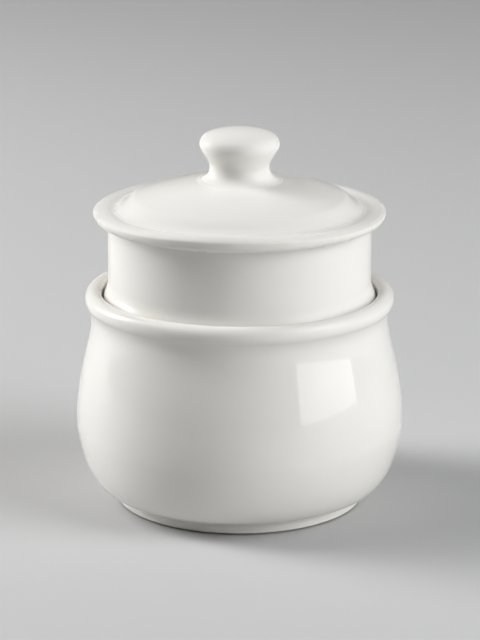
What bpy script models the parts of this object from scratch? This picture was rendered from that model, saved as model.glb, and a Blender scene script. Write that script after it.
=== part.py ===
# Butter crock: a round-bellied stoneware pot for cold water, and a lid whose open bell holds the
# butter upside down in it. The lid is luted together from a knob, a domed cover and the bell.
# All pieces are turned about Z. Lengths are in metres, and the pot stands on Z = 0.

import math

import bmesh
import bpy
import numpy as np

# Fits
SEAM = 0.0003  # glaze seam between two pieces that are luted or seated on each other
MERGE_SHARE = 0.01  # points this share of a seam apart are one point
SIDES = 64  # facets round a wide piece
KNOB_SIDES = 32  # facets round the knob

# Pot, outside
POT_HEIGHT = 0.0698  # table to the crest of the rim
BELLY_SWELL = 0.005176  # how far the belly stands out beyond the neck
BELLY_HEIGHT = 0.0263  # height of the widest place
FOOT_RADIUS = 0.03957
FOOT_HEIGHT = 0.0027
FOOT_WIDTH = 0.0036  # breadth of the ring that stands on the table
FOOT_EDGE = 0.00105  # rounding of the ring's two lower edges
FOOT_RECESS = 0.0022  # hollow under the floor, inside the ring
COVE_WIDTH = 0.00287  # cove between the foot and the belly
COVE_HEIGHT = 0.002
BELLY_START_ANGLE = math.radians(11.6)  # slope at which the belly leaves the cove
BELLY_LOW_SHARES = (0.317, 0.175)  # pulls of the lower curve, as shares of its chord
BELLY_HIGH_SHARES = (0.472, 0.205)  # pulls of the upper curve, as shares of its rise

# Pot, inside
POT_WALL = 0.0045
POT_FLOOR = 0.0053
WATER_DEPTH = 0.0125  # floor to the mouth of the bell
FLOOR_SHARE = 0.62  # flat part of the floor, as a share of the inner belly radius
INNER_LOW_SHARES = (0.46, 0.80)
INNER_HIGH_SHARES = (0.46, 0.17)

# Rim and ledge
RIM_WIDTH = 0.00518  # from the mouth to the outside of the roll
RIM_OVERHANG = 0.001856  # how far the roll stands out from the neck below it
RIM_CREST_SHARE = 0.46332  # place of the crest across the width
RIM_FALL = 0.00191  # height of the rounding inside the crest
ROLL_OVER = 0.00312  # crest of the rim to the widest place of the roll
ROLL_UNDER = 0.00388  # height of the rounding below the widest place
ROLL_BELLY = 0.00397  # breadth of the rounding below the widest place
ROLL_SHARES = (0.3, 0.787)  # pulls of the rounding above the widest place
NECK_DROP = 0.0097  # crest of the rim to the narrowest place of the neck
ROLL_END_ANGLE = math.radians(-32.9)
ROLL_TAIL_SHARE = 0.2  # how far the roll's end draws on the curve below it
MOUTH_CLEARANCE = 0.00053  # round the shoulder of the bell
LEDGE_DEPTH = 0.0063  # crest of the rim to the ledge
LEDGE_EDGE = 0.0008
LEDGE_LENGTH = 0.0050  # height of the straight bore under the ledge
BELL_CLEARANCE = 0.0010  # between the bell and that bore

# Bell
COLLAR_RADIUS = 0.0418  # the straight band that shows between the cover and the pot
COLLAR_WALL = 0.0041
COLLAR_HEIGHT = 0.02879  # underside of the shoulder to the underside of the cover's edge
SHOULDER_FLARE = 0.00167
SHOULDER_RISE = 0.0018  # underside of the shoulder to its widest place
SHOULDER_HEIGHT = 0.00918  # underside of the shoulder to where the flare begins
SHOULDER_BEARING = 0.0013  # breadth of the round edge that rests on the ledge
FLARE_SHARES = (0.5, 0.5)  # pulls of the flare, as shares of its height
BELL_STEP = 0.0018  # how far the bell is set in below the shoulder
BELL_TAPER = 0.0004
BELL_WALL = 0.0040

# Cover
FLANGE_OVERHANG = 0.00452  # how far the cover's edge stands out from the collar
FLANGE_ROUND = 0.00422  # breadth of the rounding above the widest place
FLANGE_OVER = 0.00095  # widest place to the crest of the edge
FLANGE_OVER_SHARES = (0.35, 0.65)
FLANGE_BELLY = 0.00191  # breadth of the rounding below the widest place
FLANGE_UNDER = 0.0023  # underside to the widest place
FLANGE_UNDER_SHARES = (0.55, 0.55)
EDGE_SWELL = 0.0021  # how much higher the edge stands at its thickest place
EDGE_SWELL_ANGLE = math.radians(-97.1)
EDGE_SWELL_SPREAD = math.radians(37.3)
EDGE_SWELL_RADIUS = 0.0444
EDGE_SWELL_BREADTH = 0.0047
VALLEY_WIDTH = 0.00183  # crest of the edge to the lowest place of the valley inside it
VALLEY_DEPTH = 0.00008
DOME_SWEEP = 0.00708  # the valley's lowest place to where the dome's round curve begins
REBATE = 0.0010  # depth of the seat for the bell, under the cover
DOME_RADIUS = 0.100  # curve of the dome
DOME_RISE = 0.00971  # crest of the edge to the top of the dome
COVER_WALL = 0.0044
CEILING_SHARES = (0.82, 0.42, 0.40)
VALLEY_SHARES = (0.38, 0.35)

# Knob
KNOB_HEIGHT = 0.0164
KNOB_FOOT_RADIUS = 0.0142
KNOB_WAIST_RADIUS = 0.00945
KNOB_WAIST_HEIGHT = 0.0042
KNOB_HEAD_RADIUS = 0.01263
KNOB_HEAD_HEIGHT = 0.0115  # height of the widest place above the foot
KNOB_FOOT_EDGE = 0.0003
KNOB_FOOT_SHARES = (0.60, 0.58)
KNOB_NECK_SHARES = (0.33, 0.29)
KNOB_TOP_SHARES = (0.72, 0.66)
TENON_RADIUS = 0.0050
TENON_LENGTH = 0.0022

QUARTER = math.pi / 2

# Places that follow from the sizes
CEILING_RADIUS = COLLAR_RADIUS - COLLAR_WALL
BELL_RADIUS = COLLAR_RADIUS - BELL_STEP
SHOULDER_RADIUS = COLLAR_RADIUS + SHOULDER_FLARE
BORE_RADIUS = BELL_RADIUS + BELL_CLEARANCE
MOUTH_RADIUS = SHOULDER_RADIUS + MOUTH_CLEARANCE
RIM_RADIUS = MOUTH_RADIUS + RIM_WIDTH
NECK_RADIUS = RIM_RADIUS - RIM_OVERHANG
BELLY_RADIUS = NECK_RADIUS + BELLY_SWELL
NECK_HEIGHT = POT_HEIGHT - NECK_DROP
LEDGE_Z = POT_HEIGHT - LEDGE_DEPTH
FLOOR_Z = FOOT_RECESS + POT_FLOOR
SHOULDER_Z = LEDGE_Z + SEAM
MOUTH_Z = FLOOR_Z + WATER_DEPTH
FLANGE_Z = SHOULDER_Z + COLLAR_HEIGHT
REBATE_Z = FLANGE_Z + REBATE
CREST_Z = FLANGE_Z + FLANGE_UNDER + FLANGE_OVER
DOME_Z = CREST_Z + DOME_RISE


def curve(start, start_pull, end_pull, end, steps):
    """Points of a cubic curve from start to end, drawn towards the two pulls."""
    t = np.linspace(0.0, 1.0, steps + 1)[:, None]
    start, start_pull, end_pull, end = map(np.array, (start, start_pull, end_pull, end))
    s = 1.0 - t
    return s**3 * start + 3 * s * s * t * start_pull + 3 * s * t * t * end_pull + t**3 * end


def arc(centre, radii, first, last, steps):
    """Points of an upright ellipse round centre, from one angle to another."""
    angles = np.linspace(first, last, steps + 1)
    return np.array(centre) + np.stack([np.cos(angles), np.sin(angles)], 1) * np.array(radii)


def chain(*stretches):
    """One outline from stretches that meet end to start, with each shared point kept once."""
    points = [np.atleast_2d(np.array(stretch, float)) for stretch in stretches]
    outline = [points[0]]
    for stretch in points[1:]:
        meets = np.allclose(outline[-1][-1], stretch[0], atol=SEAM * MERGE_SHARE)
        outline.append(stretch[1:] if meets else stretch)
    return np.concatenate(outline)


def glaze(name, colour, roughness):
    """Glossy white stoneware glaze."""
    material = bpy.data.materials.new(name)
    material.use_nodes = True
    shader = material.node_tree.nodes["Principled BSDF"]
    shader.inputs["Base Color"].default_value = (*colour, 1.0)
    shader.inputs["Roughness"].default_value = roughness
    shader.inputs["Metallic"].default_value = 0.0
    return material


def swell_edge(mesh, origin_z):
    """Raises the upper face of the cover's edge, most at one place of it, fading all round."""
    places = np.empty((len(mesh.vertices), 3))
    mesh.vertices.foreach_get("co", places.ravel())
    radius = np.hypot(places[:, 0], places[:, 1])
    turn = np.arctan2(places[:, 1], places[:, 0]) - EDGE_SWELL_ANGLE
    turn = np.arctan2(np.sin(turn), np.cos(turn))
    round_axis = np.exp(-((turn / EDGE_SWELL_SPREAD) ** 2))
    across = np.exp(-(((radius - EDGE_SWELL_RADIUS) / EDGE_SWELL_BREADTH) ** 2))
    above = np.clip((places[:, 2] + origin_z - FLANGE_Z) / (CREST_Z - FLANGE_Z), 0.0, 1.0)
    upper = places[:, 2] + origin_z > REBATE_Z + SEAM
    places[:, 2] += EDGE_SWELL * round_axis * across * above**2 * upper
    mesh.vertices.foreach_set("co", places.ravel())
    mesh.update()


def turned(name, outline, closed, sides, origin_z, material):
    """A solid turned about Z from an outline of (radius, height) that runs down its outer side."""
    mesh = bpy.data.meshes.new(name)
    work = bmesh.new()
    verts = [work.verts.new((radius, 0.0, height - origin_z)) for radius, height in outline]
    pairs = list(zip(verts, verts[1:]))
    if closed:
        pairs.append((verts[-1], verts[0]))
    edges = [work.edges.new(pair) for pair in pairs]
    bmesh.ops.spin(
        work,
        geom=verts + edges,
        cent=(0.0, 0.0, 0.0),
        axis=(0.0, 0.0, 1.0),
        angle=2 * math.pi,
        steps=sides,
        use_merge=True,
    )
    bmesh.ops.remove_doubles(work, verts=work.verts, dist=SEAM * MERGE_SHARE)
    bmesh.ops.recalc_face_normals(work, faces=work.faces)
    work.to_mesh(mesh)
    work.free()
    mesh.shade_smooth()
    mesh.set_sharp_from_angle(angle=math.radians(40))
    mesh.materials.append(material)
    piece = bpy.data.objects.new(name, mesh)
    bpy.context.collection.objects.link(piece)
    return piece


def pot_outline():
    """Section of the pot, from the middle of its floor up the inside, over the rim and down."""
    inner_belly = BELLY_RADIUS - POT_WALL
    inner_fall = BELLY_HEIGHT - FLOOR_Z
    floor_radius = FLOOR_SHARE * inner_belly
    bore_end = LEDGE_Z - LEDGE_LENGTH
    inner_rise = bore_end - BELLY_HEIGHT
    floor = curve(
        (floor_radius, FLOOR_Z),
        (floor_radius + INNER_LOW_SHARES[1] * (inner_belly - floor_radius), FLOOR_Z),
        (inner_belly, BELLY_HEIGHT - INNER_LOW_SHARES[0] * inner_fall),
        (inner_belly, BELLY_HEIGHT),
        7,
    )
    inner_wall = curve(
        (inner_belly, BELLY_HEIGHT),
        (inner_belly, BELLY_HEIGHT + INNER_HIGH_SHARES[0] * inner_rise),
        (BORE_RADIUS, bore_end - INNER_HIGH_SHARES[1] * inner_rise),
        (BORE_RADIUS, bore_end),
        6,
    )
    ledge_edge = arc(
        (BORE_RADIUS + LEDGE_EDGE, LEDGE_Z - LEDGE_EDGE),
        (LEDGE_EDGE, LEDGE_EDGE),
        2 * QUARTER,
        QUARTER,
        2,
    )
    ledge_cove = arc(
        (MOUTH_RADIUS - LEDGE_EDGE, LEDGE_Z + LEDGE_EDGE),
        (LEDGE_EDGE, LEDGE_EDGE),
        -QUARTER,
        0.0,
        2,
    )
    crest_radius = MOUTH_RADIUS + RIM_CREST_SHARE * RIM_WIDTH
    roll_z = POT_HEIGHT - ROLL_OVER
    inner_round = arc(
        (crest_radius, POT_HEIGHT - RIM_FALL),
        (crest_radius - MOUTH_RADIUS, RIM_FALL),
        2 * QUARTER,
        QUARTER,
        3,
    )
    over_roll = curve(
        (crest_radius, POT_HEIGHT),
        (crest_radius + ROLL_SHARES[0] * (RIM_RADIUS - crest_radius), POT_HEIGHT),
        (RIM_RADIUS, roll_z + ROLL_SHARES[1] * ROLL_OVER),
        (RIM_RADIUS, roll_z),
        5,
    )
    roll = (ROLL_BELLY, ROLL_UNDER)
    outer_roll = arc((RIM_RADIUS - ROLL_BELLY, roll_z), roll, 0.0, ROLL_END_ANGLE, 4)
    heading = np.array([math.sin(ROLL_END_ANGLE) * roll[0], -math.cos(ROLL_END_ANGLE) * roll[1]])
    under_roll = curve(
        outer_roll[-1],
        outer_roll[-1] + heading * ROLL_TAIL_SHARE,
        (NECK_RADIUS, (outer_roll[-1][1] + NECK_HEIGHT) / 2),
        (NECK_RADIUS, NECK_HEIGHT),
        4,
    )
    rise = NECK_HEIGHT - BELLY_HEIGHT
    belly_high = curve(
        (NECK_RADIUS, NECK_HEIGHT),
        (NECK_RADIUS, NECK_HEIGHT - BELLY_HIGH_SHARES[1] * rise),
        (BELLY_RADIUS, BELLY_HEIGHT + BELLY_HIGH_SHARES[0] * rise),
        (BELLY_RADIUS, BELLY_HEIGHT),
        8,
    )
    cove = np.array([FOOT_RADIUS + COVE_WIDTH, FOOT_HEIGHT + COVE_HEIGHT])
    slope = np.array([math.cos(BELLY_START_ANGLE), math.sin(BELLY_START_ANGLE)])
    chord = math.hypot(BELLY_RADIUS - cove[0], BELLY_HEIGHT - cove[1])
    belly_low = curve(
        (BELLY_RADIUS, BELLY_HEIGHT),
        (BELLY_RADIUS, BELLY_HEIGHT - BELLY_LOW_SHARES[1] * chord),
        cove + slope * BELLY_LOW_SHARES[0] * chord,
        cove,
        9,
    )
    foot_cove = curve(
        cove,
        cove - slope * COVE_WIDTH / 2,
        (FOOT_RADIUS, FOOT_HEIGHT + COVE_HEIGHT / 2),
        (FOOT_RADIUS, FOOT_HEIGHT),
        3,
    )
    foot_outer = arc(
        (FOOT_RADIUS - FOOT_EDGE, FOOT_EDGE), (FOOT_EDGE, FOOT_EDGE), 0.0, -QUARTER, 2
    )
    foot_inside = FOOT_RADIUS - FOOT_WIDTH - 2 * FOOT_EDGE
    foot_inner = arc(
        (foot_inside + FOOT_EDGE, FOOT_EDGE), (FOOT_EDGE, FOOT_EDGE), -QUARTER, -2 * QUARTER, 2
    )
    return chain(
        (0.0, FLOOR_Z),
        floor,
        inner_wall,
        ledge_edge,
        ledge_cove,
        inner_round,
        over_roll,
        outer_roll,
        under_roll,
        belly_high,
        belly_low,
        foot_cove,
        foot_outer,
        foot_inner,
        (foot_inside, FOOT_RECESS),
        (0.0, FOOT_RECESS),
    )


def bell_outline():
    """Section of the bell: its collar, the shoulder that rests on the ledge, and the open cup."""
    top = REBATE_Z - SEAM
    drop = SHOULDER_HEIGHT - SHOULDER_RISE
    flare = curve(
        (COLLAR_RADIUS, SHOULDER_Z + SHOULDER_HEIGHT),
        (COLLAR_RADIUS, SHOULDER_Z + SHOULDER_HEIGHT - FLARE_SHARES[0] * drop),
        (SHOULDER_RADIUS, SHOULDER_Z + SHOULDER_RISE + FLARE_SHARES[1] * drop),
        (SHOULDER_RADIUS, SHOULDER_Z + SHOULDER_RISE),
        6,
    )
    bearing = arc(
        (SHOULDER_RADIUS - SHOULDER_BEARING, SHOULDER_Z + SHOULDER_RISE),
        (SHOULDER_BEARING, SHOULDER_RISE),
        0.0,
        -QUARTER,
        4,
    )
    mouth = arc(
        (BELL_RADIUS - BELL_TAPER - BELL_WALL / 2, MOUTH_Z + BELL_WALL / 2),
        (BELL_WALL / 2, BELL_WALL / 2),
        0.0,
        -2 * QUARTER,
        6,
    )
    inner = mouth[-1]
    wall = curve(
        inner,
        (inner[0], (MOUTH_Z + SHOULDER_Z) / 2),
        (CEILING_RADIUS, SHOULDER_Z),
        (CEILING_RADIUS, (SHOULDER_Z + top) / 2),
        5,
    )
    return chain(
        (COLLAR_RADIUS, top),
        flare,
        bearing,
        (BELL_RADIUS, SHOULDER_Z),
        mouth,
        wall,
        (CEILING_RADIUS, top),
    )


def dome_height(radius):
    """Height of the dome's upper face at a distance from the axis."""
    return DOME_Z - DOME_RADIUS + np.sqrt(DOME_RADIUS**2 - radius**2)


def cover_outline():
    """Section of the cover, from the socket for the knob, over the dome and back underneath."""
    edge_radius = COLLAR_RADIUS + FLANGE_OVERHANG
    crest_radius = edge_radius - FLANGE_ROUND
    valley_radius = crest_radius - VALLEY_WIDTH
    dome_end = valley_radius - DOME_SWEEP
    slope = dome_end / math.sqrt(DOME_RADIUS**2 - dome_end**2)
    reach = valley_radius - dome_end
    seat_z = dome_height(KNOB_FOOT_RADIUS)
    socket_radius = TENON_RADIUS + SEAM
    socket_z = seat_z - TENON_LENGTH
    radii = np.linspace(KNOB_FOOT_RADIUS, dome_end, 6)
    dome = np.stack([radii, dome_height(radii)], 1)
    valley_z = CREST_Z - VALLEY_DEPTH
    valley = curve(
        dome[-1],
        dome[-1] + np.array([reach, -reach * slope]) * VALLEY_SHARES[1],
        (valley_radius - VALLEY_SHARES[0] * reach, valley_z),
        (valley_radius, valley_z),
        6,
    )
    crest_run = crest_radius - valley_radius
    to_crest = curve(
        (valley_radius, valley_z),
        (valley_radius + crest_run / 2, valley_z),
        (crest_radius - crest_run / 2, CREST_Z),
        (crest_radius, CREST_Z),
        3,
    )
    widest_z = CREST_Z - FLANGE_OVER
    over = curve(
        (crest_radius, CREST_Z),
        (crest_radius + FLANGE_OVER_SHARES[0] * FLANGE_ROUND, CREST_Z),
        (edge_radius, widest_z + FLANGE_OVER_SHARES[1] * FLANGE_OVER),
        (edge_radius, widest_z),
        5,
    )
    under_radius = edge_radius - FLANGE_BELLY
    under = curve(
        (edge_radius, widest_z),
        (edge_radius, widest_z - FLANGE_UNDER_SHARES[0] * FLANGE_UNDER),
        (under_radius + FLANGE_UNDER_SHARES[1] * FLANGE_BELLY, FLANGE_Z),
        (under_radius, FLANGE_Z),
        5,
    )
    rebate_radius = COLLAR_RADIUS + SEAM
    ceiling_radius = CEILING_RADIUS - SEAM
    ceiling_z = DOME_Z - COVER_WALL
    ceiling = curve(
        (ceiling_radius, REBATE_Z),
        (
            CEILING_SHARES[0] * ceiling_radius,
            REBATE_Z + CEILING_SHARES[1] * (ceiling_z - REBATE_Z),
        ),
        (CEILING_SHARES[2] * ceiling_radius, ceiling_z),
        (0.0, ceiling_z),
        8,
    )
    return chain(
        (0.0, socket_z),
        (socket_radius, socket_z),
        (socket_radius, seat_z),
        dome,
        valley,
        to_crest,
        over,
        under,
        (rebate_radius, FLANGE_Z),
        (rebate_radius, REBATE_Z),
        ceiling,
    )


def knob_outline():
    """Section of the knob, from its top down to the tenon that sits in the cover."""
    foot_z = dome_height(KNOB_FOOT_RADIUS) + SEAM
    head = (KNOB_HEAD_RADIUS, foot_z + KNOB_HEAD_HEIGHT)
    waist = (KNOB_WAIST_RADIUS, foot_z + KNOB_WAIST_HEIGHT)
    top_z = foot_z + KNOB_HEIGHT
    neck = KNOB_HEAD_HEIGHT - KNOB_WAIST_HEIGHT
    crown = curve(
        (0.0, top_z),
        (KNOB_TOP_SHARES[1] * head[0], top_z),
        (head[0], head[1] + KNOB_TOP_SHARES[0] * (top_z - head[1])),
        head,
        8,
    )
    underside = curve(
        head,
        (head[0], head[1] - KNOB_NECK_SHARES[1] * neck),
        (waist[0], waist[1] + KNOB_NECK_SHARES[0] * neck),
        waist,
        7,
    )
    foot_top = foot_z + KNOB_FOOT_EDGE
    foot_reach = KNOB_FOOT_RADIUS - waist[0]
    foot = curve(
        waist,
        (waist[0], waist[1] - KNOB_FOOT_SHARES[0] * (waist[1] - foot_top)),
        (KNOB_FOOT_RADIUS - KNOB_FOOT_SHARES[1] * foot_reach, foot_top),
        (KNOB_FOOT_RADIUS, foot_top),
        5,
    )
    tenon_z = foot_z - TENON_LENGTH
    return chain(
        crown,
        underside,
        foot,
        (KNOB_FOOT_RADIUS, foot_z),
        (TENON_RADIUS, foot_z),
        (TENON_RADIUS, tenon_z),
        (0.0, tenon_z),
    )


def lid_axis():
    """The place that the lid's pieces hang from: the axis, at the underside of the shoulder."""
    axis = bpy.data.objects.new("lid_axis", None)
    axis.location = (0.0, 0.0, SHOULDER_Z)
    bpy.context.collection.objects.link(axis)
    return axis


def main():
    for old in list(bpy.data.objects):
        bpy.data.objects.remove(old)
    body_glaze = glaze("pot_glaze", (0.79, 0.78, 0.75), 0.12)
    bell_glaze = glaze("bell_glaze", (0.79, 0.78, 0.75), 0.12)
    cover_glaze = glaze("cover_glaze", (0.80, 0.79, 0.76), 0.12)
    knob_glaze = glaze("knob_glaze", (0.80, 0.79, 0.76), 0.12)
    turned("crock_pot", pot_outline(), False, SIDES, 0.0, body_glaze)
    axis = lid_axis()
    for name, outline, closed, sides, material in (
        ("butter_bell", bell_outline(), True, SIDES, bell_glaze),
        ("lid_cover", cover_outline(), False, SIDES, cover_glaze),
        ("lid_knob", knob_outline(), False, KNOB_SIDES, knob_glaze),
    ):
        piece = turned(name, outline, closed, sides, SHOULDER_Z, material)
        piece.parent = axis
    swell_edge(bpy.data.objects["lid_cover"].data, SHOULDER_Z)


main()
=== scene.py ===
# Butter crock in white glazed stoneware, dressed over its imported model: pot, bell, cover and knob,
# with the grey sweep it stands on and the soft lamps round it.
# Outlines are in millimetres from the axis and from the table. Meshes are in metres.

import math

import bpy
import numpy as np
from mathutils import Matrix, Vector


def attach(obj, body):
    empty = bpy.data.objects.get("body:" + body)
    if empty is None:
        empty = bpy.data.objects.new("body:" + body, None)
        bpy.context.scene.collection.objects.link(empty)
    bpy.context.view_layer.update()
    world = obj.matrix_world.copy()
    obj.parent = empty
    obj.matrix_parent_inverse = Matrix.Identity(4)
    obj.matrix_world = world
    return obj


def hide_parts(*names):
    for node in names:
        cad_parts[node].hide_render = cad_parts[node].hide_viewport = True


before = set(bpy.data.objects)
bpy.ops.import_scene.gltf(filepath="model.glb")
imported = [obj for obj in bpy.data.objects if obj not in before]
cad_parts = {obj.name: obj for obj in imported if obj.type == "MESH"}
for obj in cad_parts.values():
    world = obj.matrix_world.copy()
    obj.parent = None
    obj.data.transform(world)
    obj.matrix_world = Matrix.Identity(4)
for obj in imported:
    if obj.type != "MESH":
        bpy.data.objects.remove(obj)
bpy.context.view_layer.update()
print("frame loaded:", ", ".join(sorted(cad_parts)))

millimetre = 0.001
quarterTurn = math.pi / 2


# outlines

def bezierRun(start, startPull, endPull, end, steps):
    # cubic curve: the four points weighted by (1-t)^3, 3(1-t)^2 t, 3(1-t) t^2 and t^3
    t = np.linspace(0, 1, steps + 1)[:, None]
    start, startPull, endPull, end = (np.array(p, float) for p in (start, startPull, endPull, end))
    s = 1 - t
    return s**3 * start + 3 * s * s * t * startPull + 3 * s * t * t * endPull + t**3 * end


def ellipseRun(centre, radii, first, last, steps):
    # upright ellipse: centre + (radius cos a, height sin a), a from first to last
    a = np.linspace(first, last, steps + 1)
    return np.array(centre) + np.stack([np.cos(a), np.sin(a)], 1) * np.array(radii)


def straightRun(start, end, steps):
    # straight line, t from 0 to 1 in even steps
    t = np.linspace(0, 1, steps + 1)[:, None]
    return np.array(start) * (1 - t) + np.array(end) * t


def joinRuns(*runs):
    # runs laid end to end, each shared point kept once
    points = [np.atleast_2d(np.array(run, float)) for run in runs]
    joined = [points[0]]
    for run in points[1:]:
        same = np.allclose(joined[-1][-1], run[0], atol=1e-4)
        joined.append(run[1:] if same else run)
    return np.concatenate(joined)


# turned pieces

bendWindow = 1.2  # mm of outline over which its bend is taken
bendSamples = 4000
handMarks = {
    "waves": (2, 3, 5, 7),  # times round the axis
    "shares": (0.4, 0.28, 0.2, 0.12),
    "drift": 0.021,  # how fast each wave turns with the height, in radians per mm
    "fullRadius": 20,  # mm from the axis, inside which the unevenness dies away
}


def sectionBend(outline, reach):
    # how sharply the outline turns: change of heading over a window of `reach` mm, positive on an
    # edge that stands out and negative in a hollow, for a solid to the left of the outline
    step = np.linalg.norm(np.diff(outline, axis=0), axis=1)
    along = np.concatenate([[0], np.cumsum(step)])
    fine = np.linspace(0, along[-1], bendSamples)
    x, z = np.interp(fine, along, outline[:, 0]), np.interp(fine, along, outline[:, 1])
    heading = np.unwrap(np.arctan2(np.gradient(z), np.gradient(x)))
    half = max(2, int(reach / 2 / (fine[1] - fine[0])))
    ahead = np.concatenate([heading[half:], np.full(half, heading[-1])])
    behind = np.concatenate([np.full(half, heading[0]), heading[:-half]])
    bend = (ahead - behind) / reach
    kernel = np.ones(half * 2 + 1) / (half * 2 + 1)
    bend = np.convolve(np.pad(bend, half, mode="edge"), kernel, mode="valid")
    return np.interp(along, fine, bend)


def handWobble(angle, height, seed):
    # slow unevenness of a hand-finished piece, 0 to 1: the mean of four waves round the axis whose
    # phases drift with the height
    phase = np.random.default_rng(seed).uniform(0, 2 * math.pi, len(handMarks["waves"]))
    total = sum(
        share * np.cos(n * angle + start + height * handMarks["drift"] * n)
        for n, start, share in zip(handMarks["waves"], phase, handMarks["shares"])
    )
    return (1 + total) / 2


def turnedPiece(name, outline, look, material, closed=False, swell=None):
    # surface of revolution on a grid of (point of the outline, direction a): x = r cos a,
    # y = r sin a, z = h + swell(r, h, a), with r drawn in by wobble x handWobble; a point with
    # r = 0 is one vertex, fanned to its row; a closed outline joins its last row to its first
    sides = look["sides"]
    bend = sectionBend(outline, bendWindow)
    poleStart, poleEnd = outline[0][0] == 0, outline[-1][0] == 0
    ring = outline[int(poleStart) : len(outline) - int(poleEnd)]
    angle = np.arange(sides) * 2 * math.pi / sides
    r, h = ring[:, 0][:, None], ring[:, 1][:, None]
    uneven = look["wobble"] * handWobble(angle[None, :], h, look["seed"])
    drawn = r - uneven * np.clip(r / handMarks["fullRadius"], 0, 1)
    height = h + (0 * angle[None, :] if swell is None else swell(r, h, angle[None, :]))
    grid = np.stack([drawn * np.cos(angle), drawn * np.sin(angle), height], -1)
    verts = grid.reshape(-1, 3)
    index = np.arange(len(ring) * sides).reshape(len(ring), sides)
    side = np.roll(index, -1, 1)
    if closed:
        nextRow, nextSide = np.roll(index, -1, 0), np.roll(side, -1, 0)
        quads = np.stack([index, side, nextSide, nextRow], -1).reshape(-1, 4)
    else:
        quads = np.stack([index[:-1], side[:-1], side[1:], index[1:]], -1).reshape(-1, 4)
    fans = []
    bendRows = np.repeat(bend[int(poleStart) : len(outline) - int(poleEnd)], sides)
    if poleStart:
        fans.append(np.stack([np.full(sides, len(verts)), side[0], index[0]], -1))
        verts = np.vstack([verts, [0, 0, outline[0][1]]])
        bendRows = np.append(bendRows, bend[0])
    if poleEnd:
        fans.append(np.stack([np.full(sides, len(verts)), index[-1], side[-1]], -1))
        verts = np.vstack([verts, [0, 0, outline[-1][1]]])
        bendRows = np.append(bendRows, bend[-1])
    # signed volume of the fans and quads says which way the faces point
    tris = np.concatenate([quads[:, [0, 1, 2]], quads[:, [0, 2, 3]], *fans])
    a, b, c = verts[tris[:, 0]], verts[tris[:, 1]], verts[tris[:, 2]]
    inward = np.einsum("ij,ij->i", a, np.cross(b, c)).sum() < 0
    faces = quads.tolist() + [face for fan in fans for face in fan.tolist()]
    if inward:
        faces = [face[::-1] for face in faces]
    mesh = bpy.data.meshes.new(name)
    mesh.from_pydata((verts * millimetre).tolist(), [], faces)
    mesh.validate()
    edge = mesh.attributes.new("edge", "FLOAT", "POINT")
    edge.data.foreach_set("value", (bendRows * (-1 if inward else 1)).astype(np.float32))
    mesh.shade_smooth()
    mesh.materials.append(material)
    piece = bpy.data.objects.new(name, mesh)
    bpy.context.scene.collection.objects.link(piece)
    print(f"{name}: {len(verts)} vertices, {len(tris)} triangles")
    return piece


# node trees

def treeTools(tree):
    # two short ways to build in a node tree: a new node with its settings, and a smooth step that
    # takes the source from (low, high) to (toLow, toHigh)
    def node(kind, **settings):
        made = tree.nodes.new(kind)
        for key, value in settings.items():
            setattr(made, key, value)
        return made

    def smoothStep(source, low, high, toLow=0.0, toHigh=1.0):
        made = node("ShaderNodeMapRange", interpolation_type="SMOOTHSTEP")
        sockets = ("From Min", "From Max", "To Min", "To Max")
        for name, value in zip(sockets, (low, high, toLow, toHigh)):
            made.inputs[name].default_value = value
        tree.links.new(source, made.inputs["Value"])
        return made.outputs["Result"]

    return node, smoothStep


# glaze

# pairs are the low and high of a noise or a bend between which a change starts and is full; bends
# are per mm, positive over edges and negative in hollows; scales are cells per metre
glazeLook = {
    "white": (0.808, 0.793, 0.762),  # where the glaze lies at its usual thickness
    "pooled": (0.782, 0.764, 0.727),  # thick glaze in the hollows, a little deeper in tone
    "thin": (0.798, 0.772, 0.722),  # thin glaze over the edges, where the warm clay shows through
    "biscuitAndContactShade": (0.34, 0.31, 0.265),  # wiped foot ring, bare clay, darkened past its own tone as painted shade for the dark contact line at the floor
    "ior": 1.5,
    "roughness": 0.06,
    "roughnessSpread": 0.03,
    "satin": 0.16,  # how much rougher the glaze is where it runs thin or pools over a tight bend
    "satinScale": 59.8,
    "satinNoise": (0.3, 0.7),
    "bent": (0.03, 0.2),
    "coat": 0.1,
    "coatRoughness": 0.06,
    "specular": 0.41,
    "bentSpecular": 0.16,
    "toneScale": 26,
    "toneNoise": (0.35, 0.7),
    "toneShade": 0.985,  # how far the slow drift in tone goes
    "pooledBends": (-0.02, -0.5),
    "pooledShare": 0.75,
    "thinBends": (0.12, 0.75),
    "thinShare": 0.8,
    "patchScale": 182,
    "patchNoise": (0.3, 0.62),
    "peel": 0.000004,  # depth of the glaze's orange peel
    "peelScale": 420,
    "pinhole": 0.00003,
    "pinholeScale": 95,
    "pinholeSize": (0.035, 0.012),
    "pinholePick": (0.86, 0.9),  # random level of a cell from which it has one
    "pinholeTone": 0.5,
    "bareEdge": 210,  # scale of the ragged line where the glaze was wiped off
    "bareRagged": 0.5,
    "bareFade": 0.6,
    "clayGrain": 1900,
    "clayNoise": (0.35, 0.65),
    "clayShade": 0.88,
    "clayRoughness": 0.82,
    "clayBump": 0.00004,
}


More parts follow.
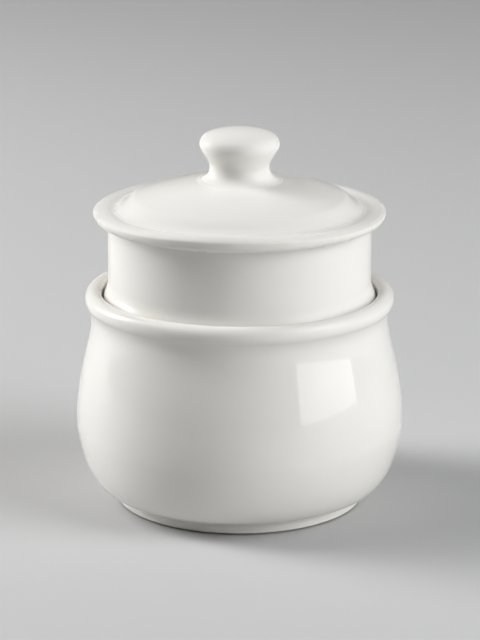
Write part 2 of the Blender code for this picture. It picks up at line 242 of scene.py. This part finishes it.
def glazeMaterial(name, look, bareHeight=0):
    # glaze over the whole piece, and bare clay below bareHeight (metres) where that isn't 0
    material = bpy.data.materials.new(name)
    material.use_nodes = True
    tree = material.node_tree
    links = tree.links
    shader = tree.nodes["Principled BSDF"]
    node, smoothStep = treeTools(tree)

    def blendColour(factor, first, second):
        made = node("ShaderNodeMix", data_type="RGBA")
        links.new(factor, made.inputs["Factor"])
        for socket, value in ((made.inputs[6], first), (made.inputs[7], second)):
            if isinstance(value, tuple):
                socket.default_value = (*value, 1)
            else:
                links.new(value, socket)
        return made.outputs[2]

    def noise(scale, detail, roughness=0.5):
        made = node("ShaderNodeTexNoise")
        made.inputs["Scale"].default_value = scale
        made.inputs["Detail"].default_value = detail
        made.inputs["Roughness"].default_value = roughness
        links.new(place, made.inputs["Vector"])
        return made.outputs["Fac"]

    def calculate(operation, *values):
        made = node("ShaderNodeMath", operation=operation)
        for socket, value in zip(made.inputs, values):
            if isinstance(value, (int, float)):
                socket.default_value = value
            else:
                links.new(value, socket)
        return made.outputs[0]

    def bump(height, depth, under=None, invert=False):
        made = node("ShaderNodeBump", invert=invert)
        made.inputs["Strength"].default_value = 1.0
        made.inputs["Distance"].default_value = depth
        links.new(height, made.inputs["Height"])
        if under:
            links.new(under, made.inputs["Normal"])
        return made.outputs["Normal"]

    place = node("ShaderNodeTexCoord").outputs["Object"]
    edge = node("ShaderNodeAttribute", attribute_name="edge").outputs["Fac"]

    # colour: slow drift in tone, deeper in the hollows, warmer over the edges
    drift = noise(look["toneScale"], 3.0, 0.55)
    shaded = tuple(c * look["toneShade"] for c in look["white"])
    body = blendColour(smoothStep(drift, *look["toneNoise"]), look["white"], shaded)
    pooled = smoothStep(edge, *look["pooledBends"], 0, look["pooledShare"])
    body = blendColour(pooled, body, look["pooled"])
    patchy = smoothStep(noise(look["patchScale"], 4.0, 0.6), *look["patchNoise"])
    thin = smoothStep(edge, *look["thinBends"], 0, look["thinShare"])
    body = blendColour(calculate("MULTIPLY", thin, patchy), body, look["thin"])

    # pinholes: small dots, few of them, where a bubble broke in the kiln
    dots = node("ShaderNodeTexVoronoi", feature="F1")
    dots.inputs["Scale"].default_value = look["pinholeScale"]
    links.new(place, dots.inputs["Vector"])
    dot = smoothStep(dots.outputs["Distance"], *look["pinholeSize"])
    cell = node("ShaderNodeSeparateColor")
    links.new(dots.outputs["Color"], cell.inputs[0])
    pinhole = calculate("MULTIPLY", dot, smoothStep(cell.outputs[0], *look["pinholePick"]))
    body = blendColour(calculate("MULTIPLY", pinhole, look["pinholeTone"]), body, look["pooled"])

    # gloss: a little uneven, softer over tight bends
    bendSize = calculate("ABSOLUTE", edge)
    bent = smoothStep(bendSize, *look["bent"])
    low, high = (look["roughness"] + s * look["roughnessSpread"] for s in (-0.5, 0.5))
    satin = smoothStep(noise(look["satinScale"], 5.0, 0.6), *look["satinNoise"], low, high)
    rough = calculate("MULTIPLY_ADD", bent, look["satin"], satin)
    shine = smoothStep(bendSize, *look["bent"], look["specular"], look["bentSpecular"])
    surface = bump(noise(look["peelScale"], 2.0), look["peel"])
    surface = bump(pinhole, look["pinhole"], surface, invert=True)

    if bareHeight:
        # bare clay below a ragged line: matt, grainy and darker than the glaze; its colour is partly
        # the clay's own and partly painted shade for the dark contact line at the floor
        height = node("ShaderNodeSeparateXYZ")
        links.new(place, height.inputs[0])
        ragged = noise(look["bareEdge"], 3.0)
        sunk = -bareHeight * look["bareRagged"]
        line = calculate("MULTIPLY_ADD", ragged, sunk, height.outputs["Z"])
        bare = smoothStep(line, bareHeight, bareHeight * look["bareFade"])
        grain = noise(look["clayGrain"], 4.0, 0.7)
        darkClay = tuple(c * look["clayShade"] for c in look["biscuitAndContactShade"])
        clay = blendColour(smoothStep(grain, *look["clayNoise"]), look["biscuitAndContactShade"], darkClay)
        body = blendColour(bare, body, clay)
        mixed = node("ShaderNodeMix", data_type="FLOAT")
        links.new(bare, mixed.inputs["Factor"])
        links.new(rough, mixed.inputs[2])
        mixed.inputs[3].default_value = look["clayRoughness"]
        rough = mixed.outputs[0]
        surface = bump(calculate("MULTIPLY", grain, bare), look["clayBump"], surface)

    links.new(body, shader.inputs["Base Color"])
    links.new(rough, shader.inputs["Roughness"])
    links.new(surface, shader.inputs["Normal"])
    shader.inputs["Specular IOR Level"].default_value = look["specular"]
    links.new(shine, shader.inputs["Specular IOR Level"])
    shader.inputs["IOR"].default_value = look["ior"]
    shader.inputs["Coat Weight"].default_value = look["coat"]
    shader.inputs["Coat Roughness"].default_value = look["coatRoughness"]
    shader.inputs["Coat IOR"].default_value = look["ior"]
    return material


# the lid's glaze is softer in its gloss than the pot's
lidLook = {**glazeLook, "roughness": 0.12, "specular": 0.12, "bentSpecular": 0.08, "coat": 0.0}


# pot

pot = {
    "height": 69.8,
    "bellyRadius": 52.5,
    "bellyHeight": 26.3,
    "footRadius": 39.57,
    "footHeight": 2.7,
    "footWidth": 3.6,
    "footEdge": 1.05,
    "footRecess": 2.2,
    "coveWidth": 2.87,
    "coveHeight": 2.0,
    "bellyStart": math.radians(11.6),  # slope at which the belly leaves the foot
    "bellyLow": (0.317, 0.175),
    "bellyHigh": (0.472, 0.205),
    "wall": 4.5,
    "floorTop": 7.5,
    "floorShare": 0.62,
    "innerLow": (0.46, 0.80),
    "innerHigh": (0.46, 0.17),
    "neckRadius": 47.324,
    "neckHeight": 60.1,
    "rimRadius": 49.18,
    "crestRadius": 46.4,
    "innerFall": 1.91,  # height of the rounding inside the crest
    "rollOver": 3.12,  # crest to the widest place of the roll
    "rollPulls": (0.300, 0.787),
    "rollUnder": 3.88,
    "rollBelly": 3.97,  # breadth of the rounding below the widest place
    "mouthRadius": 44.0,
    "rollEnd": math.radians(-32.9),
    "rollTail": 0.2,
    "ledge": 63.5,
    "ledgeEdge": 0.8,
    "boreRadius": 41.0,
    "boreLength": 5.0,
    "coreRadius": 2.0,  # where the flat floors start round the axis
    "covePulls": (0.55, 0.5),
    "footLand": 0.2,  # straight part of the foot's outside, below the cove
    "bareHeight": 0.0007,  # metres of the foot's edge that were wiped clean of glaze
    "sides": 256,
    "wobble": 0.07,
    "seed": 3,
}
potSteps = {
    "floor": 12,
    "floorBend": 26,
    "wall": 26,
    "bore": 4,
    "corner": 8,
    "ledge": 2,
    "mouth": 3,
    "innerRound": 14,
    "overRoll": 22,
    "outerRoll": 20,
    "underRoll": 14,
    "belly": 36,
    "cove": 10,
    "footCorner": 6,
    "footFace": 4,
    "recess": 10,
}


def potOutline(p, steps):
    # from the middle of the floor up the inside, over the ledge and the rolled rim, down the belly
    # to the foot ring and back under the floor
    innerBelly = p["bellyRadius"] - p["wall"]
    boreEnd = p["ledge"] - p["boreLength"]
    rise, fall = boreEnd - p["bellyHeight"], p["bellyHeight"] - p["floorTop"]
    floorRadius = p["floorShare"] * innerBelly
    floorRun = bezierRun(
        (floorRadius, p["floorTop"]),
        (floorRadius + p["innerLow"][1] * (innerBelly - floorRadius), p["floorTop"]),
        (innerBelly, p["bellyHeight"] - p["innerLow"][0] * fall),
        (innerBelly, p["bellyHeight"]),
        steps["floorBend"],
    )
    wallRun = bezierRun(
        (innerBelly, p["bellyHeight"]),
        (innerBelly, p["bellyHeight"] + p["innerHigh"][0] * rise),
        (p["boreRadius"], boreEnd - p["innerHigh"][1] * rise),
        (p["boreRadius"], boreEnd),
        steps["wall"],
    )
    edge = p["ledgeEdge"]
    boreCorner = (p["boreRadius"] + edge, p["ledge"] - edge)
    corner = (edge, edge)
    ledgeEdge = ellipseRun(boreCorner, corner, 2 * quarterTurn, quarterTurn, steps["corner"])
    mouthCorner = (p["mouthRadius"] - edge, p["ledge"] + edge)
    ledgeCove = ellipseRun(mouthCorner, corner, -quarterTurn, 0, steps["corner"])
    innerRound = ellipseRun(
        (p["crestRadius"], p["height"] - p["innerFall"]),
        (p["crestRadius"] - p["mouthRadius"], p["innerFall"]),
        2 * quarterTurn,
        quarterTurn,
        steps["innerRound"],
    )
    widest = p["height"] - p["rollOver"]
    overRoll = bezierRun(
        (p["crestRadius"], p["height"]),
        (p["crestRadius"] + p["rollPulls"][0] * (p["rimRadius"] - p["crestRadius"]), p["height"]),
        (p["rimRadius"], widest + p["rollPulls"][1] * p["rollOver"]),
        (p["rimRadius"], widest),
        steps["overRoll"],
    )
    lower = (p["rollBelly"], p["rollUnder"])
    rollCentre = (p["rimRadius"] - p["rollBelly"], widest)
    outerRoll = ellipseRun(rollCentre, lower, 0, p["rollEnd"], steps["outerRoll"])
    heading = np.array([math.sin(p["rollEnd"]) * lower[0], -math.cos(p["rollEnd"]) * lower[1]])
    underRoll = bezierRun(
        outerRoll[-1],
        outerRoll[-1] + heading * p["rollTail"],
        (p["neckRadius"], (outerRoll[-1][1] + p["neckHeight"]) / 2),
        (p["neckRadius"], p["neckHeight"]),
        steps["underRoll"],
    )
    outerRise = p["neckHeight"] - p["bellyHeight"]
    bellyHigh = bezierRun(
        (p["neckRadius"], p["neckHeight"]),
        (p["neckRadius"], p["neckHeight"] - p["bellyHigh"][1] * outerRise),
        (p["bellyRadius"], p["bellyHeight"] + p["bellyHigh"][0] * outerRise),
        (p["bellyRadius"], p["bellyHeight"]),
        steps["belly"],
    )
    cove = np.array([p["footRadius"] + p["coveWidth"], p["footHeight"] + p["coveHeight"]])
    slope = np.array([math.cos(p["bellyStart"]), math.sin(p["bellyStart"])])
    chord = math.hypot(p["bellyRadius"] - cove[0], p["bellyHeight"] - cove[1])
    bellyLow = bezierRun(
        (p["bellyRadius"], p["bellyHeight"]),
        (p["bellyRadius"], p["bellyHeight"] - p["bellyLow"][1] * chord),
        cove + slope * p["bellyLow"][0] * chord,
        cove,
        steps["belly"],
    )
    footCove = bezierRun(
        cove,
        cove - slope * p["coveWidth"] * p["covePulls"][0],
        (p["footRadius"], p["footHeight"] + p["coveHeight"] * p["covePulls"][1]),
        (p["footRadius"], p["footHeight"] - p["footLand"]),
        steps["cove"],
    )
    e = p["footEdge"]
    corner, count = (e, e), steps["footCorner"]
    footOuter = ellipseRun((p["footRadius"] - e, e), corner, 0, -quarterTurn, count)
    footInside = p["footRadius"] - p["footWidth"] - 2 * e
    footInner = ellipseRun((footInside + e, e), corner, -quarterTurn, -2 * quarterTurn, count)
    recessEdge = ellipseRun((footInside - e, p["footRecess"] - e), corner, 0, quarterTurn, count)
    core, floorTop, recess = p["coreRadius"], p["floorTop"], p["footRecess"]
    return joinRuns(
        (0, floorTop),
        straightRun((core, floorTop), (floorRadius, floorTop), steps["floor"]),
        floorRun,
        wallRun,
        straightRun(wallRun[-1], ledgeEdge[0], steps["bore"]),
        ledgeEdge,
        straightRun(ledgeEdge[-1], ledgeCove[0], steps["ledge"]),
        ledgeCove,
        straightRun(ledgeCove[-1], innerRound[0], steps["mouth"]),
        innerRound,
        overRoll,
        outerRoll,
        underRoll,
        bellyHigh,
        bellyLow,
        footCove,
        footOuter,
        straightRun(footOuter[-1], footInner[0], steps["footFace"]),
        footInner,
        recessEdge,
        straightRun(recessEdge[-1], (core, recess), steps["recess"]),
        (0, recess),
    )


potGlaze = glazeMaterial("potGlaze", glazeLook, pot["bareHeight"])
potPiece = turnedPiece("pot", potOutline(pot, potSteps), pot, potGlaze)

# bell: the collar that shows above the pot, the shoulder on the ledge and the open cup below

bell = {
    "collarRadius": 41.8,
    "innerRadius": 37.7,
    "topHeight": 94.2,  # inside the cover, where the pieces are luted together
    "shoulderHeight": 63.8,
    "flareStart": 9.18,
    "flareWidest": 1.8,
    "flarePulls": (0.5, 0.5),
    "shoulderRadius": 43.47,
    "bearing": 1.3,
    "cupRadius": 40.0,
    "cupTaper": 0.4,
    "cupWall": 4.0,
    "mouthHeight": 20.0,
    "root": 0.5,  # rounding between the shoulder and the cup
    "sides": 256,
    "wobble": 0.05,
    "seed": 5,
}
bellSteps = {"long": 20, "flare": 20, "bearing": 12, "root": 6, "lip": 24, "wall": 24, "top": 8}


def bellOutline(b, steps):
    # closed loop: down the collar, out over the shoulder, down the cup, round its lip and up inside
    widest = b["shoulderHeight"] + b["flareWidest"]
    start = b["shoulderHeight"] + b["flareStart"]
    flare = bezierRun(
        (b["collarRadius"], start),
        (b["collarRadius"], start - b["flarePulls"][0] * (start - widest)),
        (b["shoulderRadius"], widest + b["flarePulls"][1] * (start - widest)),
        (b["shoulderRadius"], widest),
        steps["flare"],
    )
    bearingCentre = (b["shoulderRadius"] - b["bearing"], widest)
    bearingSize = (b["bearing"], b["flareWidest"])
    bearing = ellipseRun(bearingCentre, bearingSize, 0, -quarterTurn, steps["bearing"])
    root = b["root"]
    coveCentre = (b["cupRadius"] + root, b["shoulderHeight"] - root)
    cove = ellipseRun(coveCentre, (root, root), quarterTurn, 2 * quarterTurn, steps["root"])
    half = b["cupWall"] / 2
    lipCentre = (b["cupRadius"] - b["cupTaper"] - half, b["mouthHeight"] + half)
    lip = ellipseRun(lipCentre, (half, half), 0, -2 * quarterTurn, steps["lip"])
    wall = bezierRun(
        lip[-1],
        (lip[-1][0], (b["mouthHeight"] + b["shoulderHeight"]) / 2),
        (b["innerRadius"], b["shoulderHeight"]),
        (b["innerRadius"], (b["shoulderHeight"] + b["topHeight"]) / 2),
        steps["wall"],
    )
    collarTop, collarEnd = (b["collarRadius"], b["topHeight"]), (b["collarRadius"], start)
    return joinRuns(
        straightRun(collarTop, collarEnd, steps["long"]),
        flare,
        bearing,
        cove,
        straightRun(cove[-1], lip[0], steps["long"]),
        lip,
        wall,
        straightRun(wall[-1], (b["innerRadius"], b["topHeight"]), steps["top"]),
    )


bellGlaze = glazeMaterial("bellGlaze", lidLook)
bellPiece = turnedPiece("bell", bellOutline(bell, bellSteps), bell, bellGlaze, closed=True)

# cover: dome, shallow valley and rounded overhanging edge

cover = {
    "edgeRadius": 46.32,  # widest place of the edge
    "edgeRound": 4.22,  # breadth of the rounding above the widest place
    "underRound": 1.91,  # and below it
    "edgePulls": (0.35, 0.65),
    "underPulls": (0.55, 0.55),
    "edgeUnder": 2.3,
    "edgeOver": 0.95,
    "edgeBottom": 92.59,
    "swell": 2.1,  # how much thicker the edge is at its thickest place
    "swellAngle": math.radians(-97.1),
    "swellSpread": math.radians(37.3),
    "swellRadius": 44.4,
    "swellBreadth": 4.7,
    "coveRadius": 1.1,  # glaze and clay drawn down between the edge and the collar
    "covePull": 0.45,
    "coveTuck": 0.1,  # how far that runs into the collar
    "collarRadius": 41.8,
    "valleyWidth": 1.83,
    "valleyDepth": 0.08,
    "domeSweep": 7.08,
    "valleyShares": (0.38, 0.35),
    "domeRadius": 100.0,
    "domeTop": 105.55,
    "wall": 4.4,
    "innerRadius": 37.7,
    "ceilingShares": (0.82, 0.42, 0.40),
    "bed": (0.1, 2.0),  # where the bell is luted in: start beyond its bore, and breadth
    "bedHeight": 1.0,
    "coreRadius": 1.5,
    "sides": 256,
    "wobble": 0.05,
    "seed": 8,
}
coverSteps = {
    "dome": 40,
    "sweep": 24,
    "crest": 10,
    "over": 20,
    "under": 18,
    "cove": 8,
    "bed": 2,
    "ceiling": 30,
}


def domeHeight(c, radius):
    # sphere of domeRadius whose top is at domeTop
    return c["domeTop"] - c["domeRadius"] + np.sqrt(c["domeRadius"] ** 2 - radius**2)


def coverOutline(c, steps):
    # from the middle of the dome out over the valley and the edge, and back under to the ceiling
    widest = c["edgeBottom"] + c["edgeUnder"]
    crest = widest + c["edgeOver"]
    crestRadius = c["edgeRadius"] - c["edgeRound"]
    valleyRadius = crestRadius - c["valleyWidth"]
    valleyZ = crest - c["valleyDepth"]
    domeEnd = valleyRadius - c["domeSweep"]
    slope = domeEnd / math.sqrt(c["domeRadius"] ** 2 - domeEnd**2)
    reach = valleyRadius - domeEnd
    radii = np.linspace(c["coreRadius"], domeEnd, steps["dome"])
    dome = np.stack([radii, domeHeight(c, radii)], 1)
    sweep = bezierRun(
        dome[-1],
        dome[-1] + np.array([reach, -reach * slope]) * c["valleyShares"][1],
        (valleyRadius - c["valleyShares"][0] * reach, valleyZ),
        (valleyRadius, valleyZ),
        steps["sweep"],
    )
    run = crestRadius - valleyRadius
    toCrest = bezierRun(
        (valleyRadius, valleyZ),
        (valleyRadius + run / 2, valleyZ),
        (crestRadius - run / 2, crest),
        (crestRadius, crest),
        steps["crest"],
    )
    over = bezierRun(
        (crestRadius, crest),
        (crestRadius + c["edgePulls"][0] * c["edgeRound"], crest),
        (c["edgeRadius"], widest + c["edgePulls"][1] * c["edgeOver"]),
        (c["edgeRadius"], widest),
        steps["over"],
    )
    underRadius = c["edgeRadius"] - c["underRound"]
    under = bezierRun(
        (c["edgeRadius"], widest),
        (c["edgeRadius"], widest - c["underPulls"][0] * c["edgeUnder"]),
        (underRadius + c["underPulls"][1] * c["underRound"], c["edgeBottom"]),
        (underRadius, c["edgeBottom"]),
        steps["under"],
    )
    collar, bottom, drop = c["collarRadius"], c["edgeBottom"], c["coveRadius"]
    cove = bezierRun(
        (collar + drop, bottom),
        (collar + drop * c["covePull"], bottom),
        (collar - c["coveTuck"] / 2, bottom - drop * c["covePull"]),
        (collar - c["coveTuck"], bottom - drop),
        steps["cove"],
    )
    ceilingTop = c["domeTop"] - c["wall"]
    inner = c["innerRadius"] + c["bed"][0]
    outer = inner + c["bed"][1]
    ceilingStart = bottom + c["bedHeight"]
    ceiling = bezierRun(
        (inner, ceilingStart),
        (
            c["ceilingShares"][0] * inner,
            ceilingStart + c["ceilingShares"][1] * (ceilingTop - ceilingStart),
        ),
        (c["ceilingShares"][2] * inner, ceilingTop),
        (0, ceilingTop),
        steps["ceiling"],
    )
    return joinRuns(
        (0, float(domeHeight(c, 0.0))),
        dome,
        sweep,
        toCrest,
        over,
        under,
        cove,
        (outer, bottom - drop),
        straightRun((outer, ceilingStart), (inner, ceilingStart), steps["bed"]),
        ceiling,
    )


def edgeSwell(c, r, h, angle):
    # the edge is a little thicker at one place: swell, times a bell curve round the axis about
    # swellAngle, times one across the edge about swellRadius, faded out towards the underside
    turn = np.angle(np.exp(1j * (angle - c["swellAngle"])))
    across = np.exp(-(((r - c["swellRadius"]) / c["swellBreadth"]) ** 2))
    above = np.clip((h - c["edgeBottom"]) / (c["edgeUnder"] + c["edgeOver"]), 0, 1)
    return c["swell"] * np.exp(-((turn / c["swellSpread"]) ** 2)) * across * above**2


coverPiece = turnedPiece(
    "cover",
    coverOutline(cover, coverSteps),
    cover,
    glazeMaterial("coverGlaze", lidLook),
    swell=lambda r, h, angle: edgeSwell(cover, r, h, angle),
)

# knob

knob = {
    "height": 16.4,
    "footRadius": 14.2,
    "waistRadius": 9.45,
    "waistHeight": 4.2,
    "headRadius": 12.63,
    "headHeight": 11.5,
    "footShares": (0.60, 0.58),
    "neckShares": (0.33, 0.29),
    "topShares": (0.72, 0.66),
    "seam": 0.3,  # glaze between the knob and the dome
    "footSink": 0.02,  # the foot's edge lies this far into the dome's surface
    "footDepth": 0.5,  # and its underside this much lower
    "coreRadius": 5.0,
    "sides": 160,
    "wobble": 0.03,
    "seed": 11,
}
knobSteps = {"crown": 40, "under": 30, "foot": 20, "bottom": 6}


def knobOutline(k, c, steps):
    # from the middle of the top over the head, in to the waist and out again to lie on the dome
    domeZ = float(domeHeight(c, k["footRadius"]))
    footZ = domeZ + k["seam"]
    head = (k["headRadius"], footZ + k["headHeight"])
    waist = (k["waistRadius"], footZ + k["waistHeight"])
    top = footZ + k["height"]
    neck = head[1] - waist[1]
    crown = bezierRun(
        (0, top),
        (k["topShares"][1] * head[0], top),
        (head[0], head[1] + k["topShares"][0] * (top - head[1])),
        head,
        steps["crown"],
    )
    under = bezierRun(
        head,
        (head[0], head[1] - k["neckShares"][1] * neck),
        (waist[0], waist[1] + k["neckShares"][0] * neck),
        waist,
        steps["under"],
    )
    slope = -k["footRadius"] / math.sqrt(c["domeRadius"] ** 2 - k["footRadius"] ** 2)
    end = np.array([k["footRadius"], domeZ - k["footSink"]])
    drop = waist[1] - end[1]
    reach = k["footRadius"] - waist[0]
    foot = bezierRun(
        waist,
        (waist[0], waist[1] - k["footShares"][0] * drop),
        end - np.array([1, slope]) * k["footShares"][1] * reach,
        end,
        steps["foot"],
    )
    bottom = end[1] - k["footDepth"]
    return joinRuns(
        crown,
        under,
        foot,
        straightRun((k["footRadius"], bottom), (k["coreRadius"], bottom), steps["bottom"]),
        (0, bottom),
    )


knobGlaze = glazeMaterial("knobGlaze", lidLook)
knobPiece = turnedPiece("knob", knobOutline(knob, cover, knobSteps), knob, knobGlaze)

for piece, node, slot, body in (
    (potPiece, "crock_pot", "pot_glaze", "pot"),
    (bellPiece, "butter_bell", "bell_glaze", "lid"),
    (coverPiece, "lid_cover", "cover_glaze", "lid"),
    (knobPiece, "lid_knob", "knob_glaze", "lid"),
):
    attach(piece, body)
    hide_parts(node)
print("pieces ride on their bodies")

# floor and backdrop in one sweep

sweepLook = {
    "halfWidth": 3.0,
    "front": -1.6,
    "back": 1.9,  # where the floor starts to rise
    "bend": 0.9,
    "top": 2.6,
    "columns": 13,
    "rows": (24, 24, 9),  # along the floor, round the bend and up the back
    "colour": (0.537, 0.537, 0.54),
    "roughness": 0.75,
    "specular": 0.2,
}


def sweepSurface(s):
    # grid of (x, way along the section): flat to `back`, then a quarter circle of radius `bend`,
    # then straight up
    flatRows, bendRows, riseRows = s["rows"]
    wall = s["back"] + s["bend"]
    flat = np.stack([np.linspace(s["front"], s["back"], flatRows), np.zeros(flatRows)], 1)
    a = np.linspace(0, quarterTurn, bendRows)[1:]
    bendRun = np.stack([s["back"] + s["bend"] * np.sin(a), s["bend"] * (1 - np.cos(a))], 1)
    upright = np.linspace(s["bend"], s["top"], riseRows)[1:]
    rise = np.stack([np.full(riseRows - 1, wall), upright], 1)
    section = np.vstack([flat, bendRun, rise])
    x = np.linspace(-s["halfWidth"], s["halfWidth"], s["columns"])
    acrossGrid = np.tile(x, (len(section), 1))
    depthGrid, heightGrid = (np.tile(section[:, k : k + 1], (1, len(x))) for k in (0, 1))
    grid = np.stack([acrossGrid, depthGrid, heightGrid], -1)
    index = np.arange(len(section) * len(x)).reshape(len(section), len(x))
    corners = [index[:-1, :-1], index[:-1, 1:], index[1:, 1:], index[1:, :-1]]
    quads = np.stack(corners, -1).reshape(-1, 4)
    mesh = bpy.data.meshes.new("sweep")
    mesh.from_pydata(grid.reshape(-1, 3).tolist(), [], quads.tolist())
    mesh.shade_smooth()
    return mesh


def sweepMaterial(look):
    material = bpy.data.materials.new("sweepPaper")
    material.use_nodes = True
    shader = material.node_tree.nodes["Principled BSDF"]
    shader.inputs["Base Color"].default_value = (*look["colour"], 1)
    shader.inputs["Roughness"].default_value = look["roughness"]
    shader.inputs["Specular IOR Level"].default_value = look["specular"]
    return material


floor = bpy.data.objects.new("sweep", sweepSurface(sweepLook))
bpy.context.scene.collection.objects.link(floor)
floor.data.materials.append(sweepMaterial(sweepLook))
print("sweep laid")

# lamps: upright diffusers, each brightest round a hot spot and fading to its edges
# azimuth 0 is towards the camera and 90 to the right; lengths in metres from the crock's axis

lamps = {
    "leftPanel": {
        "azimuth": -97.8,
        "distance": 1.15,
        "foot": 0.11,  # floor to the panel's lower edge
        "width": 1.203,
        "height": 2.66,
        "colour": (1.0, 0.997, 0.99),
        "power": 167.6,
        "hot": (0.653, 0.125),  # hot spot, across and up
        "plateau": 0.097,  # share of the reach that stays fully bright
        "reach": (0.44, 0.41),
        "low": 0.243,  # radiance beyond the reach, as a share of the hot spot's
        "soft": (0.418, 0.046),  # breadth of the faded edges, across and up
        "lean": 0.735,  # how far the glow drifts across on its way up
    },
    "upperPanel": {
        "azimuth": -88.7,
        "distance": 1.0,
        "foot": 1.34,
        "width": 1.1,
        "height": 1.2,
        "colour": (1.0, 0.997, 0.99),
        "power": 7.61,
        "hot": (0.5, 0.5),
        "plateau": 0.3,
        "reach": (0.55, 0.55),
        "low": 0.3,
        "soft": (0.2, 0.2),
        "lean": 0.0,
    },
    "rightPanel": {
        "azimuth": 66.9,
        "distance": 1.1,
        "foot": 0.0,
        "width": 1.021,
        "height": 2.26,
        "colour": (0.985, 0.995, 1.0),
        "power": 50.5,
        "hot": (0.457, 0.314),
        "plateau": 0.28,
        "reach": (0.411, 0.302),
        "low": 0.42,
        "soft": (0.014, 0.008),
        "lean": 0.084,
    },
    "backPanel": {
        "azimuth": 180,
        "distance": 1.6,
        "foot": 0.1,
        "width": 3.2,
        "height": 1.5,
        "colour": (1.0, 1.0, 1.0),
        "power": 3.203,
        "hot": (0.5, 0.5),
        "plateau": 0.0,
        "reach": (1.0, 1.0),
        "low": 0.99,
        "soft": (0.2, 0.2),
        "lean": 0.0,
    },
}
worldLevel = 0.021


def panelGlow(lamp, look):
    # radiance share at (u, v) across the panel, with u less lean x (v - 1/2): a smooth bump, 1 at
    # the hot spot and `low` at its reach, times a smooth rise from 0 over `soft` at each edge
    lamp.use_nodes = True
    tree = lamp.node_tree
    emission = tree.nodes["Emission"]
    node, smoothStep = treeTools(tree)
    flat = node("ShaderNodeSeparateXYZ")
    tree.links.new(node("ShaderNodeNewGeometry").outputs["Parametric"], flat.inputs[0])
    drift = node("ShaderNodeMath", operation="MULTIPLY_ADD")
    drift.inputs[1].default_value = -look["lean"]
    drift.inputs[2].default_value = look["lean"] / 2
    tree.links.new(flat.outputs["Y"], drift.inputs[0])
    leant = node("ShaderNodeMath", operation="ADD")
    tree.links.new(flat.outputs["X"], leant.inputs[0])
    tree.links.new(drift.outputs[0], leant.inputs[1])
    parts = node("ShaderNodeCombineXYZ")
    tree.links.new(leant.outputs[0], parts.inputs["X"])
    tree.links.new(flat.outputs["Y"], parts.inputs["Y"])
    offset = node("ShaderNodeVectorMath", operation="SUBTRACT")
    offset.inputs[1].default_value = (*look["hot"], 0)
    scaled = node("ShaderNodeVectorMath", operation="DIVIDE")
    scaled.inputs[1].default_value = (*look["reach"], 1)
    far = node("ShaderNodeVectorMath", operation="LENGTH")
    tree.links.new(parts.outputs[0], offset.inputs[0])
    tree.links.new(offset.outputs[0], scaled.inputs[0])
    tree.links.new(scaled.outputs[0], far.inputs[0])
    glow = smoothStep(far.outputs["Value"], look["plateau"], 1, 1, look["low"])
    for source, soft in zip((leant.outputs[0], flat.outputs["Y"]), look["soft"]):
        for low, high in ((0, soft), (1, 1 - soft)):
            product = node("ShaderNodeMath", operation="MULTIPLY")
            tree.links.new(glow, product.inputs[0])
            tree.links.new(smoothStep(source, low, high), product.inputs[1])
            glow = product.outputs[0]
    tree.links.new(glow, emission.inputs["Strength"])


def addLamp(name, look):
    lamp = bpy.data.lights.new(name, "AREA")
    lamp.shape = "RECTANGLE"
    lamp.size, lamp.size_y = look["width"], look["height"]
    lamp.energy = look["power"]
    lamp.color = look["colour"]
    panelGlow(lamp, look)
    a = math.radians(look["azimuth"])
    away = Vector((math.sin(a), -math.cos(a), 0))
    holder = bpy.data.objects.new(name, lamp)
    holder.location = away * look["distance"] + Vector((0, 0, look["foot"] + look["height"] / 2))
    holder.rotation_euler = away.to_track_quat("Z", "Y").to_euler()
    bpy.context.scene.collection.objects.link(holder)


for lampName, lampLook in lamps.items():
    addLamp(lampName, lampLook)

world = bpy.data.worlds.new("studio")
bpy.context.scene.world = world
world.use_nodes = True
background = world.node_tree.nodes["Background"]
background.inputs["Color"].default_value = (1, 1, 1, 1)
background.inputs["Strength"].default_value = worldLevel
print("lamps placed")

# camera

cameraLook = {
    "place": (0.00013, -0.9215, 0.32535),
    "pitch": 16.14,  # degrees below the horizon
    "lens": 168.75,
    "sensor": 36,
    "near": 0.05,
    "far": 20,
}
camera = bpy.data.cameras.new("camera")
camera.lens = cameraLook["lens"]
camera.sensor_width = cameraLook["sensor"]
camera.clip_start, camera.clip_end = cameraLook["near"], cameraLook["far"]
cameraHolder = bpy.data.objects.new("camera", camera)
cameraHolder.location = cameraLook["place"]
cameraHolder.rotation_euler = (math.radians(90 - cameraLook["pitch"]), 0, 0)
bpy.context.scene.collection.objects.link(cameraHolder)
bpy.context.scene.camera = cameraHolder
bpy.context.scene.view_settings.view_transform = "Standard"
print("camera placed")
